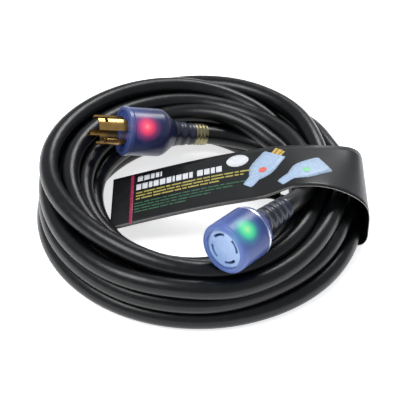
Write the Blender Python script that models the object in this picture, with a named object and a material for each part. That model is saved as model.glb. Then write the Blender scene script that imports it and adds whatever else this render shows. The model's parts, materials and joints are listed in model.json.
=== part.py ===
"""A 30 A twist-lock extension cord, coiled for storage in a printed card sleeve.

Units are metres and Z is up. The coil lies round the Z axis on the plane z = 0. The plug
leans on the coil at the back left, and the connector lies across its front. Each end is
modelled in its own axes, with +Z out of its face and z = 0 on its face, and is then placed.
"""

import math

import bmesh
import bpy
from mathutils import Matrix, Vector

# Cord and the conductors inside it
CORD_D = 0.0170
WIRE_D = 0.0044
GAP = 0.0003
BUNDLE_R = (WIRE_D + 2 * GAP) / math.sqrt(2)
WIRE_BORE = BUNDLE_R + WIRE_D / 2 + 2 * GAP
CORD_BORE = CORD_D / 2 + GAP
WIRE_STRAIGHT = 0.0040
WIRE_STEPS = 10
CORE_LENGTH = 0.0093

# Coil, as the turned outline of its turns
COIL_INNER_R = 0.0910
COIL_OUTER_R = 0.1460
COIL_HEIGHT = 0.0495
COIL_CREST_R = 0.1160
COIL_WALL_TOP = 0.0270
COIL_FILLET = 0.0080
COIL_SEGMENTS = 72

# Blades, on one circle a quarter turn apart
BLADE_CIRCLE_R = 0.0125
BLADE_THICKNESS = 0.0018
BLADE_INNER_R = BLADE_CIRCLE_R - BLADE_THICKNESS / 2
BLADE_OUTER_R = BLADE_CIRCLE_R + BLADE_THICKNESS / 2
BLADE_HALF_ANGLE = math.radians(25)
BLADE_LENGTH = 0.0270
BLADE_TAIL = 0.0045
BLADE_TIP = 0.0090
LOCK_NOTCH = 0.0030
NOTCH_SHARE = 0.3
GROUND_HOOK = 0.0036
ARC_STEPS = 6
POLES = ("ground", "hot_x", "neutral", "hot_y")

# Both ends: moulded shell, dome and strain relief
FACE_MARGIN = 0.0045
RIM_WIDTH = 0.0050
BODY_R = BLADE_CIRCLE_R + FACE_MARGIN + RIM_WIDTH
BODY_WALL = 0.0030
SEAT_STEP = 0.0020
BODY_LENGTH = 0.0490
DOME_LENGTH = 0.0120
DOME_FILLET = 0.0108
BOOT_WALL = 0.0035
BOOT_END_WALL = 0.0014
BOOT_RIB = 0.0006
NECK_R = CORD_D / 2 + BOOT_WALL
END_SEGMENTS = 40

# Plug
PLUG_REST = -0.0123
PLUG_AT = (-0.0703, 0.0505, COIL_HEIGHT + BODY_R + PLUG_REST)
PLUG_AXIS = (-0.907, -0.304, 0.291)
PLUG_ROLL = math.radians(60)
FLANGE_LIP = 0.0005
FLANGE_LENGTH = 0.0042
PLUG_FACE_R = BODY_R - BODY_WALL
PLUG_FACE_DEPTH = 0.0090
SLOT_CLEARANCE = 0.0003
PLUG_BOOT_LENGTH = 0.0205
FERRULE_LENGTH = 0.0120
FERRULE_WALL = 0.0009
FERRULE_RIB = 0.0005
FERRULE_RIBS = 3

# Connector
CONNECTOR_REST = 0.0082
CONNECTOR_AT = (0.0182, -0.1292, COIL_HEIGHT + BODY_R + CONNECTOR_REST)
CONNECTOR_AXIS = (-0.634, -0.762, 0.129)
CONNECTOR_ROLL = math.radians(35)
RIM_FILLET = 0.0032
GROOVE_WIDTH = 0.0020
GROOVE_DEPTH = 0.0006
GROOVE_BEFORE_DOME = 0.0040
FACE_RECESS = 0.0020
CONNECTOR_FACE_R = BODY_R - RIM_WIDTH
CONNECTOR_FACE_DEPTH = 0.0240
CONNECTOR_BOOT_LENGTH = 0.0325
SLOT_DEPTH = 0.0060
SLOT_SPREAD = BLADE_HALF_ANGLE + 1.3 * SLOT_CLEARANCE / BLADE_CIRCLE_R
CONTACT_LEAF = 0.0006
CONTACT_LENGTH = 0.0190
CONTACT_HALF_ANGLE = math.radians(20)
CONTACT_ROOM = 0.0008
CONTACT_GRIP = BLADE_THICKNESS / 2 + GAP

# Indicator lamps and the boards that carry them
LAMP_R = 0.0025
LAMP_LENGTH = 0.0086
LAMP_FLANGE = 0.0004
LAMP_FLANGE_LENGTH = 0.0010
LAMP_SEGMENTS = 20
LAMP_DEPTH = 0.0235
CONNECTOR_LAMP_DEPTH = 0.0330
BOARD_SIZE = (0.0070, 0.0056, 0.0012)

# Card sleeve: where it runs round the coil, and how far its crown and shoulder rise above it
CARD_THICKNESS = 0.0005
CARD_WIDTH = 0.0680
CARD_CENTRE_Y = -0.0050
CARD_CLEARANCE = 0.0015
CARD_INSET = 0.0150
CARD_JOIN = 0.0110
CARD_JOIN_DROP = 0.0010
CARD_DROP_EASE = (0.0025, 0.0100)
CARD_DROP_BEND = 0.0120
CARD_BEND = 0.0120
CARD_RIDGE = 0.0110
CARD_SLOPE = 0.0060
CARD_LANDING = 0.0030
CARD_CROWN = 0.0195
CARD_SHOULDER = 0.0050
TONGUE_BEND_X = 0.0330
TONGUE_BEND_RISE = 0.0045
TONGUE_TIP_X = -0.0790
TONGUE_TIP_Z = 0.0190
CARD_BED_DEPTH = 0.0015
SLIDE_ANGLE = math.radians(8)
CARD_BED_MARGIN = math.radians(5)

# How far a cutter runs past what it cuts
CUT_REACH = 0.0020
CUT_SWEEP = math.radians(15)

# The leads between the coil and the ends, outside their strain reliefs
PLUG_LEAD_ROUTE = (
    (0.0266, 0.0792, 0.0290),
    (0.0450, 0.0768, 0.0265),
    (0.0621, 0.0697, 0.0253),
    (0.0768, 0.0584, 0.0250),
)
CONNECTOR_LEAD_ROUTE = (
    (0.0880, -0.0355, 0.0580),
    (0.0938, -0.0190, 0.0546),
    (0.0962, 0.0000, 0.0516),
    (0.0950, 0.0205, 0.0493),
    (0.0895, 0.0410, 0.0471),
    (0.0812, 0.0612, 0.0447),
    (0.0690, 0.0800, 0.0418),
)


def clear_scene():
    for old in list(bpy.data.objects):
        bpy.data.objects.remove(old, do_unlink=True)


def finish(name, colour, roughness, metallic=0.0, alpha=1.0, glow=0.0):
    """A Principled material; colour is linear RGB."""
    material = bpy.data.materials.new(name)
    material.use_nodes = True
    shader = material.node_tree.nodes["Principled BSDF"]
    shader.inputs["Base Color"].default_value = (*colour, 1.0)
    shader.inputs["Roughness"].default_value = roughness
    shader.inputs["Metallic"].default_value = metallic
    shader.inputs["Alpha"].default_value = alpha
    shader.inputs["Emission Color"].default_value = (*colour, 1.0)
    shader.inputs["Emission Strength"].default_value = glow
    material.diffuse_color = (*colour, alpha)
    return material


def placed(name, bm, material, matrix=None):
    """A named object from a bmesh, shaded smooth with its hard edges kept."""
    bmesh.ops.remove_doubles(bm, verts=bm.verts, dist=1e-7)
    bmesh.ops.recalc_face_normals(bm, faces=bm.faces)
    mesh = bpy.data.meshes.new(name)
    bm.to_mesh(mesh)
    bm.free()
    mesh.shade_smooth()
    mesh.set_sharp_from_angle(angle=math.radians(35))
    obj = bpy.data.objects.new(name, mesh)
    bpy.context.scene.collection.objects.link(obj)
    if material:
        mesh.materials.append(material)
    if matrix:
        obj.matrix_world = matrix
    return obj


def cut(obj, cutter):
    """Takes the cutter's shape out of the object and hides the cutter."""
    cutter.hide_render = True
    cutter.display_type = "WIRE"
    modifier = obj.modifiers.new("cut " + cutter.name, "BOOLEAN")
    modifier.operation = "DIFFERENCE"
    modifier.solver = "EXACT"
    modifier.object = cutter


def rounded(corners, steps=4):
    """A closed outline from (x, z, fillet radius) corners, each fillet drawn as an arc."""
    outline = []
    count = len(corners)
    for i, (x, z, radius) in enumerate(corners):
        here = Vector((x, z))
        if radius <= 0:
            outline.append(here)
            continue
        back = (Vector(corners[i - 1][:2]) - here).normalized()
        ahead = (Vector(corners[(i + 1) % count][:2]) - here).normalized()
        half = back.angle(ahead) / 2
        reach = radius / math.tan(half)
        centre = here + (back + ahead).normalized() * (radius / math.sin(half))
        start = here + back * reach - centre
        sweep = start.angle_signed(here + ahead * reach - centre)
        for k in range(steps + 1):
            turn = Matrix.Rotation(-sweep * k / steps, 2)
            outline.append(centre + turn @ start)
    return outline


def turned(name, outline, material, matrix=None, segments=END_SEGMENTS, closed=True):
    """Spins an (r, z) outline round Z. An open outline starts and ends on the axis."""
    bm = bmesh.new()
    verts = [bm.verts.new((r, 0.0, z)) for r, z in outline]
    edges = [bm.edges.new(pair) for pair in zip(verts, verts[1:])]
    if closed:
        edges.append(bm.edges.new((verts[-1], verts[0])))
    bmesh.ops.spin(
        bm,
        geom=verts + edges,
        cent=(0, 0, 0),
        axis=(0, 0, 1),
        angle=2 * math.pi,
        steps=segments,
        use_merge=True,
    )
    return placed(name, bm, material, matrix)


def prism(bm, outline, low, high):
    """Adds a prism over an (x, y) outline between two heights."""
    base = [bm.verts.new((x, y, low)) for x, y in outline]
    top = [bm.verts.new((x, y, high)) for x, y in outline]
    bm.faces.new(base)
    bm.faces.new(top)
    for i, corner in enumerate(base):
        after = (i + 1) % len(base)
        bm.faces.new((corner, base[after], top[after], top[i]))


def arc(radius, start, end, steps=ARC_STEPS):
    """Points (x, y) on a circle round the axis, from one angle to another."""
    angles = [start + (end - start) * k / steps for k in range(steps + 1)]
    return [(radius * math.cos(a), radius * math.sin(a)) for a in angles]


def strip(inner, outer, start, end, steps=ARC_STEPS):
    """The (x, y) outline of a strip bent round the axis between two angles."""
    return arc(outer, start, end, steps) + arc(inner, end, start, steps)


def smooth_route(points, spacing):
    """Points at even spacing on a Catmull-Rom curve through the route's points."""
    route = [Vector(p) for p in points]
    route = [2 * route[0] - route[1]] + route + [2 * route[-1] - route[-2]]
    dense = []
    for i in range(1, len(route) - 2):
        a, b, c, d = route[i - 1 : i + 3]
        for k in range(24):
            t = k / 24
            dense.append(
                0.5
                * (
                    2 * b
                    + (c - a) * t
                    + (2 * a - 5 * b + 4 * c - d) * t**2
                    + (3 * b - a - 3 * c + d) * t**3
                )
            )
    dense.append(route[-2])
    lengths = [0.0]
    for before, after in zip(dense, dense[1:]):
        lengths.append(lengths[-1] + (after - before).length)
    count = max(2, round(lengths[-1] / spacing))
    even = [dense[0]]
    k = 0
    for i in range(1, count):
        wanted = lengths[-1] * i / count
        while lengths[k + 1] < wanted:
            k += 1
        part = (wanted - lengths[k]) / (lengths[k + 1] - lengths[k])
        even.append(dense[k].lerp(dense[k + 1], part))
    even.append(dense[-1])
    return even


def tube(name, points, diameter, material, resolution):
    """A round lead along points, as a bevelled curve with closed ends."""
    curve = bpy.data.curves.new(name, "CURVE")
    curve.dimensions = "3D"
    curve.bevel_depth = diameter / 2
    curve.bevel_resolution = resolution
    curve.use_fill_caps = True
    spline = curve.splines.new("POLY")
    spline.points.add(len(points) - 1)
    for node, point in zip(spline.points, points):
        node.co = (*point, 1.0)
    curve.materials.append(material)
    obj = bpy.data.objects.new(name, curve)
    bpy.context.scene.collection.objects.link(obj)
    return obj


def channel(name, points, radius, sides=16):
    """A closed round bar along points, for cutting the bed that a lead lies in."""
    bm = bmesh.new()
    side = Vector((0, 0, 1))
    rings = []
    for i, point in enumerate(points):
        ahead = points[min(i + 1, len(points) - 1)] - points[max(i - 1, 0)]
        across = ahead.cross(side).normalized()
        upward = across.cross(ahead).normalized()
        ring = []
        for k in range(sides):
            a = 2 * math.pi * k / sides
            offset = across * (radius * math.cos(a)) + upward * (radius * math.sin(a))
            ring.append(bm.verts.new(point + offset))
        rings.append(ring)
    for ring, following in zip(rings, rings[1:]):
        for k in range(sides):
            after = (k + 1) % sides
            bm.faces.new((ring[k], ring[after], following[after], following[k]))
    bm.faces.new(rings[0])
    bm.faces.new(rings[-1])
    return placed(name, bm, None)


def end_frame(at, axis, roll):
    """The matrix of an end: its +Z along the axis, its +X rolled up from the horizontal."""
    forward = Vector(axis).normalized()
    level = Vector((0, 0, 1)).cross(forward).normalized()
    upright = forward.cross(level)
    base = Matrix((level, upright, forward)).transposed().to_4x4()
    return Matrix.Translation(at) @ base @ Matrix.Rotation(roll, 4, "Z")


def shell(name, face_r, face_depth, rim, material, matrix):
    """A moulded body: rim, barrel and dome, hollow from its face to its neck."""
    shoulder = -(BODY_LENGTH - DOME_LENGTH)
    cavity = BODY_R - BODY_WALL - SEAT_STEP
    outline = rim + [
        (BODY_R, shoulder, DOME_FILLET),
        (NECK_R, -BODY_LENGTH, 0.0),
        (WIRE_BORE, -BODY_LENGTH, 0.0),
        (cavity, shoulder, 0.0),
        (cavity, -face_depth, 0.0),
        (face_r, -face_depth, 0.0),
        (face_r, 0.0, 0.0),
    ]
    return turned(name, rounded(outline, 5), material, matrix)


def boot(name, length, material, matrix, ribs):
    """The strain relief: it tapers from the neck to the cord, over the wires and jacket."""
    top = -BODY_LENGTH - GAP
    end = top - length
    core_end = -BODY_LENGTH - CORE_LENGTH
    end_r = CORD_D / 2 + BOOT_END_WALL
    steps = 2 * ribs + 1
    edge = BOOT_RIB / 2
    outline = [(WIRE_BORE, top), (NECK_R, top)]
    for k in range(1, steps):
        z = top - length * k / steps
        crest = NECK_R + (end_r - NECK_R) * k / steps
        before, after = (BOOT_RIB, 0.0) if k % 2 == 0 else (0.0, BOOT_RIB)
        outline.append((crest - before, z + edge))
        outline.append((crest - after, z - edge))
    outline += [(end_r, end), (CORD_BORE, end), (CORD_BORE, core_end), (WIRE_BORE, core_end)]
    return turned(name, outline, material, matrix)


def core_wires(prefix, start_z, materials, matrix):
    """Four insulated conductors, from the terminals down into the bundle in the neck."""
    last_z = -BODY_LENGTH - CORE_LENGTH + GAP
    gather_from = start_z - WIRE_STRAIGHT
    gather_to = -BODY_LENGTH + WIRE_STRAIGHT
    for quarter, (wire, material) in enumerate(materials):
        angle = quarter * math.pi / 2
        points = []
        for i in range(WIRE_STEPS + 1):
            z = start_z + (last_z - start_z) * i / WIRE_STEPS
            t = min(1.0, max(0.0, (z - gather_from) / (gather_to - gather_from)))
            blend = t * t * (3 - 2 * t)
            r = BLADE_CIRCLE_R + (BUNDLE_R - BLADE_CIRCLE_R) * blend
            points.append(matrix @ Vector((r * math.cos(angle), r * math.sin(angle), z)))
        tube(f"{prefix}_wire_{wire}", points, WIRE_D, material, 2)


def lamp(prefix, depth, material, board_material, matrix):
    """An indicator lamp facing forward on the end's axis, and the board behind it."""
    centre = -depth + LAMP_LENGTH - LAMP_R
    dome = arc(LAMP_R, math.pi / 2, 0.0, 4)
    outline = [(max(r, 0.0), centre + z) for r, z in dome]
    flange_top = -depth + LAMP_FLANGE_LENGTH
    flange_r = LAMP_R + LAMP_FLANGE
    outline += [(LAMP_R, flange_top), (flange_r, flange_top), (flange_r, -depth), (0.0, -depth)]
    turned(f"{prefix}_lamp", outline, material, matrix, LAMP_SEGMENTS, closed=False)
    width, height, thickness = BOARD_SIZE
    sides = [(width / 2, height / 2), (-width / 2, height / 2)]
    sides += [(-width / 2, -height / 2), (width / 2, -height / 2)]
    bm = bmesh.new()
    prism(bm, sides, -depth - GAP - thickness, -depth - GAP)
    placed(f"{prefix}_lamp_board", bm, board_material, matrix)


def blade(name, quarter, ground, material, matrix):
    """One curved blade. Its tip is cut half away for locking; the ground one has a hook."""
    mid = quarter * math.pi / 2
    low = -PLUG_FACE_DEPTH - GAP - BLADE_TAIL
    start = mid - BLADE_HALF_ANGLE
    end = mid + BLADE_HALF_ANGLE
    outline = strip(BLADE_INNER_R, BLADE_OUTER_R, start, end)
    leg = BLADE_INNER_R - GROUND_HOOK
    if ground:
        lip = start + BLADE_THICKNESS / BLADE_INNER_R
        outside = arc(BLADE_OUTER_R, start, end)
        inside = arc(BLADE_INNER_R, end, lip)
        outline = outside + inside + arc(leg, lip, start, 1)
    bm = bmesh.new()
    prism(bm, outline, low, BLADE_LENGTH)
    obj = placed(name, bm, material, matrix)
    tip_from = BLADE_LENGTH - BLADE_TIP
    inner_cut = BLADE_INNER_R - CUT_REACH
    outer_cut = BLADE_OUTER_R + CUT_REACH
    bm = bmesh.new()
    if ground:
        notch_to = tip_from + LOCK_NOTCH
        notch = strip(inner_cut, outer_cut, mid + BLADE_HALF_ANGLE * NOTCH_SHARE, end + CUT_SWEEP)
        prism(bm, notch, tip_from, notch_to)
        shank = strip(leg - CUT_REACH, BLADE_INNER_R - GAP / 3, start - CUT_SWEEP, mid)
        prism(bm, shank, low - CUT_REACH, notch_to)
    else:
        half = strip(inner_cut, outer_cut, mid, end + CUT_SWEEP)
        prism(bm, half, tip_from, BLADE_LENGTH + CUT_REACH)
    cut(obj, placed(name + "_relief", bm, None, matrix))


def slots(name, half_width, low, high, matrix):
    """A cutter of four curved slots, one round each blade's place."""
    bm = bmesh.new()
    for quarter in range(4):
        mid = quarter * math.pi / 2
        inner = BLADE_CIRCLE_R - half_width
        outer = BLADE_CIRCLE_R + half_width
        prism(bm, strip(inner, outer, mid - SLOT_SPREAD, mid + SLOT_SPREAD), low, high)
    return placed(name, bm, None, matrix)


def plug_face(material, matrix):
    """The blade carrier: a disc with one fitted slot for each blade."""
    radius = PLUG_FACE_R - GAP
    bottom = -PLUG_FACE_DEPTH
    outline = [(0.0, -GAP), (radius, -GAP), (radius, bottom), (0.0, bottom)]
    obj = turned("plug_face", outline, material, matrix, closed=False)
    half_width = BLADE_THICKNESS / 2 + SLOT_CLEARANCE
    cut(obj, slots("plug_face_slots", half_width, bottom - CUT_REACH, CUT_REACH, matrix))


def connector_face(material, matrix):
    """The insulating block: blade slots at the front, contact pockets behind them."""
    radius = CONNECTOR_FACE_R - GAP
    top = -FACE_RECESS
    bottom = -CONNECTOR_FACE_DEPTH
    outline = [(0.0, top), (radius, top), (radius, bottom), (0.0, bottom)]
    obj = turned("connector_face", outline, material, matrix, closed=False)
    step = top - SLOT_DEPTH
    slot = BLADE_THICKNESS / 2 + SLOT_CLEARANCE
    pocket = CONTACT_GRIP + CONTACT_LEAF + CONTACT_ROOM
    cut(obj, slots("connector_face_slots", slot, step - GAP, CUT_REACH, matrix))
    cut(obj, slots("connector_face_pockets", pocket, bottom - CUT_REACH, step, matrix))


def contact(name, quarter, material, matrix):
    """A folded contact: two sprung leaves that grip a blade, joined at their root."""
    mid = quarter * math.pi / 2
    top = -FACE_RECESS - SLOT_DEPTH - GAP
    root = top - CONTACT_LENGTH
    start = mid - CONTACT_HALF_ANGLE
    end = mid + CONTACT_HALF_ANGLE
    inner = BLADE_CIRCLE_R - CONTACT_GRIP
    outer = BLADE_CIRCLE_R + CONTACT_GRIP
    bm = bmesh.new()
    prism(bm, strip(inner - CONTACT_LEAF, outer + CONTACT_LEAF, start, end), root, top)
    obj = placed(name, bm, material, matrix)
    bm = bmesh.new()
    room = strip(inner, outer, start - CUT_SWEEP, end + CUT_SWEEP)
    prism(bm, room, root + CONTACT_LEAF * 2, top + CUT_REACH)
    cut(obj, placed(name + "_room", bm, None, matrix))


def ferrule(top, material, matrix):
    """The crimped ring on the cord behind the plug's strain relief."""
    outside = CORD_BORE + FERRULE_WALL
    steps = 2 * FERRULE_RIBS + 1
    outline = [(CORD_BORE, top), (outside, top)]
    for k in range(1, steps):
        rise = FERRULE_RIB if k % 2 else 0.0
        outline.append((outside + rise, top - FERRULE_LENGTH * k / steps))
    end = top - FERRULE_LENGTH
    outline += [(outside, end), (CORD_BORE, end)]
    turned("plug_ferrule", outline, material, matrix)
    return end


def plug(materials):
    """The plug: shell, carrier, four blades, lamp, wires, strain relief and ferrule."""
    matrix = end_frame(PLUG_AT, PLUG_AXIS, PLUG_ROLL)
    flange_r = BODY_R + FLANGE_LIP
    rim = [
        (flange_r, 0.0, FLANGE_LIP * 2),
        (flange_r, -FLANGE_LENGTH, FLANGE_LIP),
        (BODY_R - FLANGE_LIP, -FLANGE_LENGTH - FLANGE_LIP, 0.0),
        (BODY_R, -FLANGE_LENGTH - FLANGE_LIP * 2, 0.0),
    ]
    depth = PLUG_FACE_DEPTH + GAP
    shell("plug_body", PLUG_FACE_R, depth, rim, materials["plug shell"], matrix)
    plug_face(materials["carrier"], matrix)
    for quarter, pole in enumerate(POLES):
        blade("blade_" + pole, quarter, pole == "ground", materials["brass"], matrix)
    tail = -PLUG_FACE_DEPTH - BLADE_TAIL - 2 * GAP
    core_wires("plug", tail, materials["wires"], matrix)
    lamp("plug", LAMP_DEPTH, materials["red lamp"], materials["board"], matrix)
    boot("plug_boot", PLUG_BOOT_LENGTH, materials["plug boot"], matrix, 2)
    top = -BODY_LENGTH - PLUG_BOOT_LENGTH - 2 * GAP
    return matrix, ferrule(top, materials["ferrule"], matrix)


def connector(materials):
    """The connector: shell, slotted block, four contacts, lamp, wires and strain relief."""
    matrix = end_frame(CONNECTOR_AT, CONNECTOR_AXIS, CONNECTOR_ROLL)
    groove = -(BODY_LENGTH - DOME_LENGTH) + GROOVE_BEFORE_DOME
    rim = [
        (BODY_R, 0.0, RIM_FILLET),
        (BODY_R, groove, 0.0),
        (BODY_R - GROOVE_DEPTH, groove - GROOVE_DEPTH, 0.0),
        (BODY_R - GROOVE_DEPTH, groove - GROOVE_WIDTH + GROOVE_DEPTH, 0.0),
        (BODY_R, groove - GROOVE_WIDTH, 0.0),
    ]
    depth = CONNECTOR_FACE_DEPTH + GAP
    shell("connector_body", CONNECTOR_FACE_R, depth, rim, materials["connector shell"], matrix)
    connector_face(materials["carrier"], matrix)
    for quarter, pole in enumerate(POLES):
        contact("contact_" + pole, quarter, materials["brass"], matrix)
    root = -FACE_RECESS - SLOT_DEPTH - CONTACT_LENGTH - 2 * GAP
    core_wires("connector", root, materials["wires"], matrix)
    lamp("connector", CONNECTOR_LAMP_DEPTH, materials["green lamp"], materials["board"], matrix)
    boot("connector_boot", CONNECTOR_BOOT_LENGTH, materials["connector boot"], matrix, 4)
    return matrix, -BODY_LENGTH - CONNECTOR_BOOT_LENGTH - GAP


def lead(name, matrix, exit_z, route, material):
    """A lead from the wires' end, straight out of its strain relief, then along its route."""
    start_z = -BODY_LENGTH - CORE_LENGTH - GAP
    straight = [start_z, (start_z + exit_z) / 2, exit_z, exit_z - 0.4 * CORD_D]
    points = [matrix @ Vector((0, 0, z)) for z in straight] + list(route)
    even = smooth_route(points, 0.55 * CORD_D)
    tube(name, even, CORD_D, material, 4)
    return even


def coil(leads, material):
    """The coil's outer shape, with a bed for each lead and a shallow one under the card."""
    corners = [
        (COIL_INNER_R, 0.0, COIL_FILLET),
        (COIL_OUTER_R, 0.0, COIL_FILLET),
        (COIL_OUTER_R, COIL_HEIGHT, COIL_FILLET),
        (COIL_CREST_R, COIL_HEIGHT, COIL_FILLET),
        (COIL_INNER_R, COIL_WALL_TOP, COIL_FILLET),
    ]
    obj = turned("cord_coil", rounded(corners, 3), material, None, COIL_SEGMENTS)
    for name, points in leads.items():
        past_end = points[-1] + (points[-1] - points[-2]).normalized() * GAP
        cut(obj, channel(name + "_bed", points[:-1] + [past_end], CORD_D / 2 + 2 * GAP))
    half = math.asin((CARD_WIDTH / 2 + abs(CARD_CENTRE_Y)) / COIL_INNER_R)
    start = -half - CARD_BED_MARGIN
    end = half + SLIDE_ANGLE + CARD_BED_MARGIN
    bm = bmesh.new()
    sector = strip(COIL_INNER_R - CUT_REACH, COIL_OUTER_R + CUT_REACH, start, end, 12)
    prism(bm, sector, -CUT_REACH, CARD_BED_DEPTH)
    cut(obj, placed("card_bed", bm, None))


def fold(x, z, radius, start):
    """A quarter-circle fold (x, z) round a centre, anticlockwise from an angle."""
    return [(x + dx, z + dz) for dx, dz in arc(radius, start, start + math.pi / 2, 4)]


def card_path():
    """The (x, z) line of the card: tongue, down inside the coil, under, round and back."""
    outside = COIL_OUTER_R + CARD_CLEARANCE + CARD_THICKNESS / 2
    inside = COIL_INNER_R - CARD_INSET
    crown = COIL_HEIGHT + CARD_CROWN
    shoulder = COIL_HEIGHT + CARD_SHOULDER
    middle = (crown + shoulder) / 2
    under = CARD_THICKNESS / 2
    low_bend = COIL_FILLET + CARD_THICKNESS
    tongue = [
        (TONGUE_TIP_X, TONGUE_TIP_Z),
        (TONGUE_BEND_X, COIL_HEIGHT + TONGUE_BEND_RISE),
        (inside - CARD_JOIN, middle - CARD_JOIN_DROP),
    ]
    path = [(x, z - CARD_THICKNESS - GAP) for x, z in tongue]
    path.append((inside - CARD_DROP_EASE[0], shoulder - CARD_DROP_EASE[1]))
    path += fold(inside + CARD_DROP_BEND, under + CARD_DROP_BEND, CARD_DROP_BEND, math.pi)
    path += fold(outside - low_bend, under + low_bend, low_bend, -math.pi / 2)
    path += fold(outside - CARD_BEND, shoulder - CARD_BEND, CARD_BEND, 0.0)
    path.append((COIL_CREST_R + CARD_SLOPE, middle))
    path.append((COIL_CREST_R - CARD_RIDGE, crown))
    path.append((inside + CARD_LANDING, crown))
    return path + tongue[::-1]


def card_sleeve(material):
    """One strip of board, folded round the coil, with its two ends lying together."""
    path = [Vector(point) for point in card_path()]
    near = CARD_CENTRE_Y - CARD_WIDTH / 2
    far = CARD_CENTRE_Y + CARD_WIDTH / 2
    bm = bmesh.new()
    rows = []
    for i, middle in enumerate(path):
        ahead = path[min(i + 1, len(path) - 1)] - path[max(i - 1, 0)]
        half = Vector((-ahead.y, ahead.x)).normalized() * (CARD_THICKNESS / 2)
        row = []
        for side, y in ((1, near), (1, far), (-1, far), (-1, near)):
            point = middle + side * half
            row.append(bm.verts.new((point.x, y, point.y)))
        rows.append(row)
    for row, following in zip(rows, rows[1:]):
        for k in range(4):
            after = (k + 1) % 4
            bm.faces.new((row[k], row[after], following[after], following[k]))
    bm.faces.new(rows[0])
    bm.faces.new(rows[-1])
    placed("card_sleeve", bm, material)


def make_materials():
    return {
        "jacket": finish("black jacket", (0.012, 0.012, 0.014), 0.35),
        "plug shell": finish("clear blue body", (0.05, 0.11, 0.42), 0.2, alpha=0.7),
        "connector shell": finish("clear pale blue body", (0.16, 0.26, 0.60), 0.2, alpha=0.6),
        "plug boot": finish("navy boot", (0.02, 0.04, 0.16), 0.35, alpha=0.9),
        "connector boot": finish("smoke boot", (0.05, 0.08, 0.20), 0.3, alpha=0.8),
        "carrier": finish("blue blade carrier", (0.14, 0.24, 0.62), 0.3),
        "brass": finish("brass", (0.60, 0.42, 0.15), 0.25, metallic=1.0),
        "ferrule": finish("brass ferrule", (0.45, 0.42, 0.20), 0.3, metallic=1.0),
        "red lamp": finish("red lamp", (0.9, 0.02, 0.03), 0.2, glow=3.0),
        "green lamp": finish("green lamp", (0.1, 0.8, 0.12), 0.2, glow=3.0),
        "board": finish("lamp board", (0.35, 0.36, 0.30), 0.6),
        "card": finish("printed card", (0.02, 0.02, 0.022), 0.4),
        "wires": (
            ("green", finish("green wire", (0.03, 0.25, 0.06), 0.4)),
            ("black", finish("black wire", (0.02, 0.02, 0.02), 0.4)),
            ("white", finish("white wire", (0.75, 0.75, 0.72), 0.4)),
            ("red", finish("red wire", (0.5, 0.03, 0.03), 0.4)),
        ),
    }


clear_scene()
looks = make_materials()
plug_matrix, plug_exit = plug(looks)
connector_matrix, connector_exit = connector(looks)
lead_points = {
    "plug_lead": lead("plug_lead", plug_matrix, plug_exit, PLUG_LEAD_ROUTE, looks["jacket"]),
    "connector_lead": lead(
        "connector_lead", connector_matrix, connector_exit, CONNECTOR_LEAD_ROUTE, looks["jacket"]
    ),
}
coil(lead_points, looks["jacket"])
card_sleeve(looks["card"])
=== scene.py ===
"""Looks of the shore power cord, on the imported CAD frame. Metres, +Z up."""

import json
import math

import bpy
import numpy as np
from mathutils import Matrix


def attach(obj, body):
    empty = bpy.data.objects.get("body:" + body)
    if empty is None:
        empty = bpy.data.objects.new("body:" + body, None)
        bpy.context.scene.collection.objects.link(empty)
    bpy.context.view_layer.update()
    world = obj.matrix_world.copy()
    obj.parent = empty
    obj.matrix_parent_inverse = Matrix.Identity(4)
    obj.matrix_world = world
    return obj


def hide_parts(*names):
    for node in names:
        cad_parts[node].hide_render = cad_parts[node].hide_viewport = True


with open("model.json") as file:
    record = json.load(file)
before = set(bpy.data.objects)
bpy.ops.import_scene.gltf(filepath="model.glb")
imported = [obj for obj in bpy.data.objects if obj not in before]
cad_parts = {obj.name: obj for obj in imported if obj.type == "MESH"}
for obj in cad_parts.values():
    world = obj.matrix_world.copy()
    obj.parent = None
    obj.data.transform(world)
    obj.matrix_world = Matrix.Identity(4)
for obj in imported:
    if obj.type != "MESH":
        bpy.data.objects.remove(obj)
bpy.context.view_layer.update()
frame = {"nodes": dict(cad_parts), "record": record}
ends = {mount["name"]: mount for mount in frame["record"]["mounts"]}


# ---- Studio -----------------------------------------------------------------
# A pale painted floor under soft white light, with one large lamp high at the
# left and a smaller one behind. The camera looks down at the coil at 41 degrees.
CAMERA_TILT = math.radians(41)
CAMERA_DISTANCE = 1.2
CAMERA_AIM = np.array([0.0, 0.0, 0.020])
CAMERA_LENS = 120.3
FLOOR_HALF = 6.0


def linear(colour):
    """An sRGB hex colour as linear red, green, blue and alpha."""
    parts = np.array([int(colour[i : i + 2], 16) for i in (1, 3, 5)]) / 255
    straight = np.where(parts <= 0.04045, parts / 12.92, ((parts + 0.055) / 1.055) ** 2.4)
    return (*straight.tolist(), 1.0)


def add_node(tree, kind, inputs=(), **settings):
    """A node with its settings, and each input set to a value or linked to a socket."""
    node = tree.nodes.new(kind)
    for name, value in settings.items():
        setattr(node, name, value)
    for name, value in dict(inputs).items():
        if isinstance(value, bpy.types.NodeSocket):
            tree.links.new(value, node.inputs[name])
        else:
            node.inputs[name].default_value = value
    return node


def new_finish(name, **shader_values):
    """A material, its node tree and its shader, whose fixed values are set on the sockets."""
    material = bpy.data.materials.new(name)
    material.use_nodes = True
    tree = material.node_tree
    shader = tree.nodes["Principled BSDF"]
    for socket, value in shader_values.items():
        shader.inputs[socket.replace("_", " ")].default_value = value
    return material, tree, shader


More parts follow.
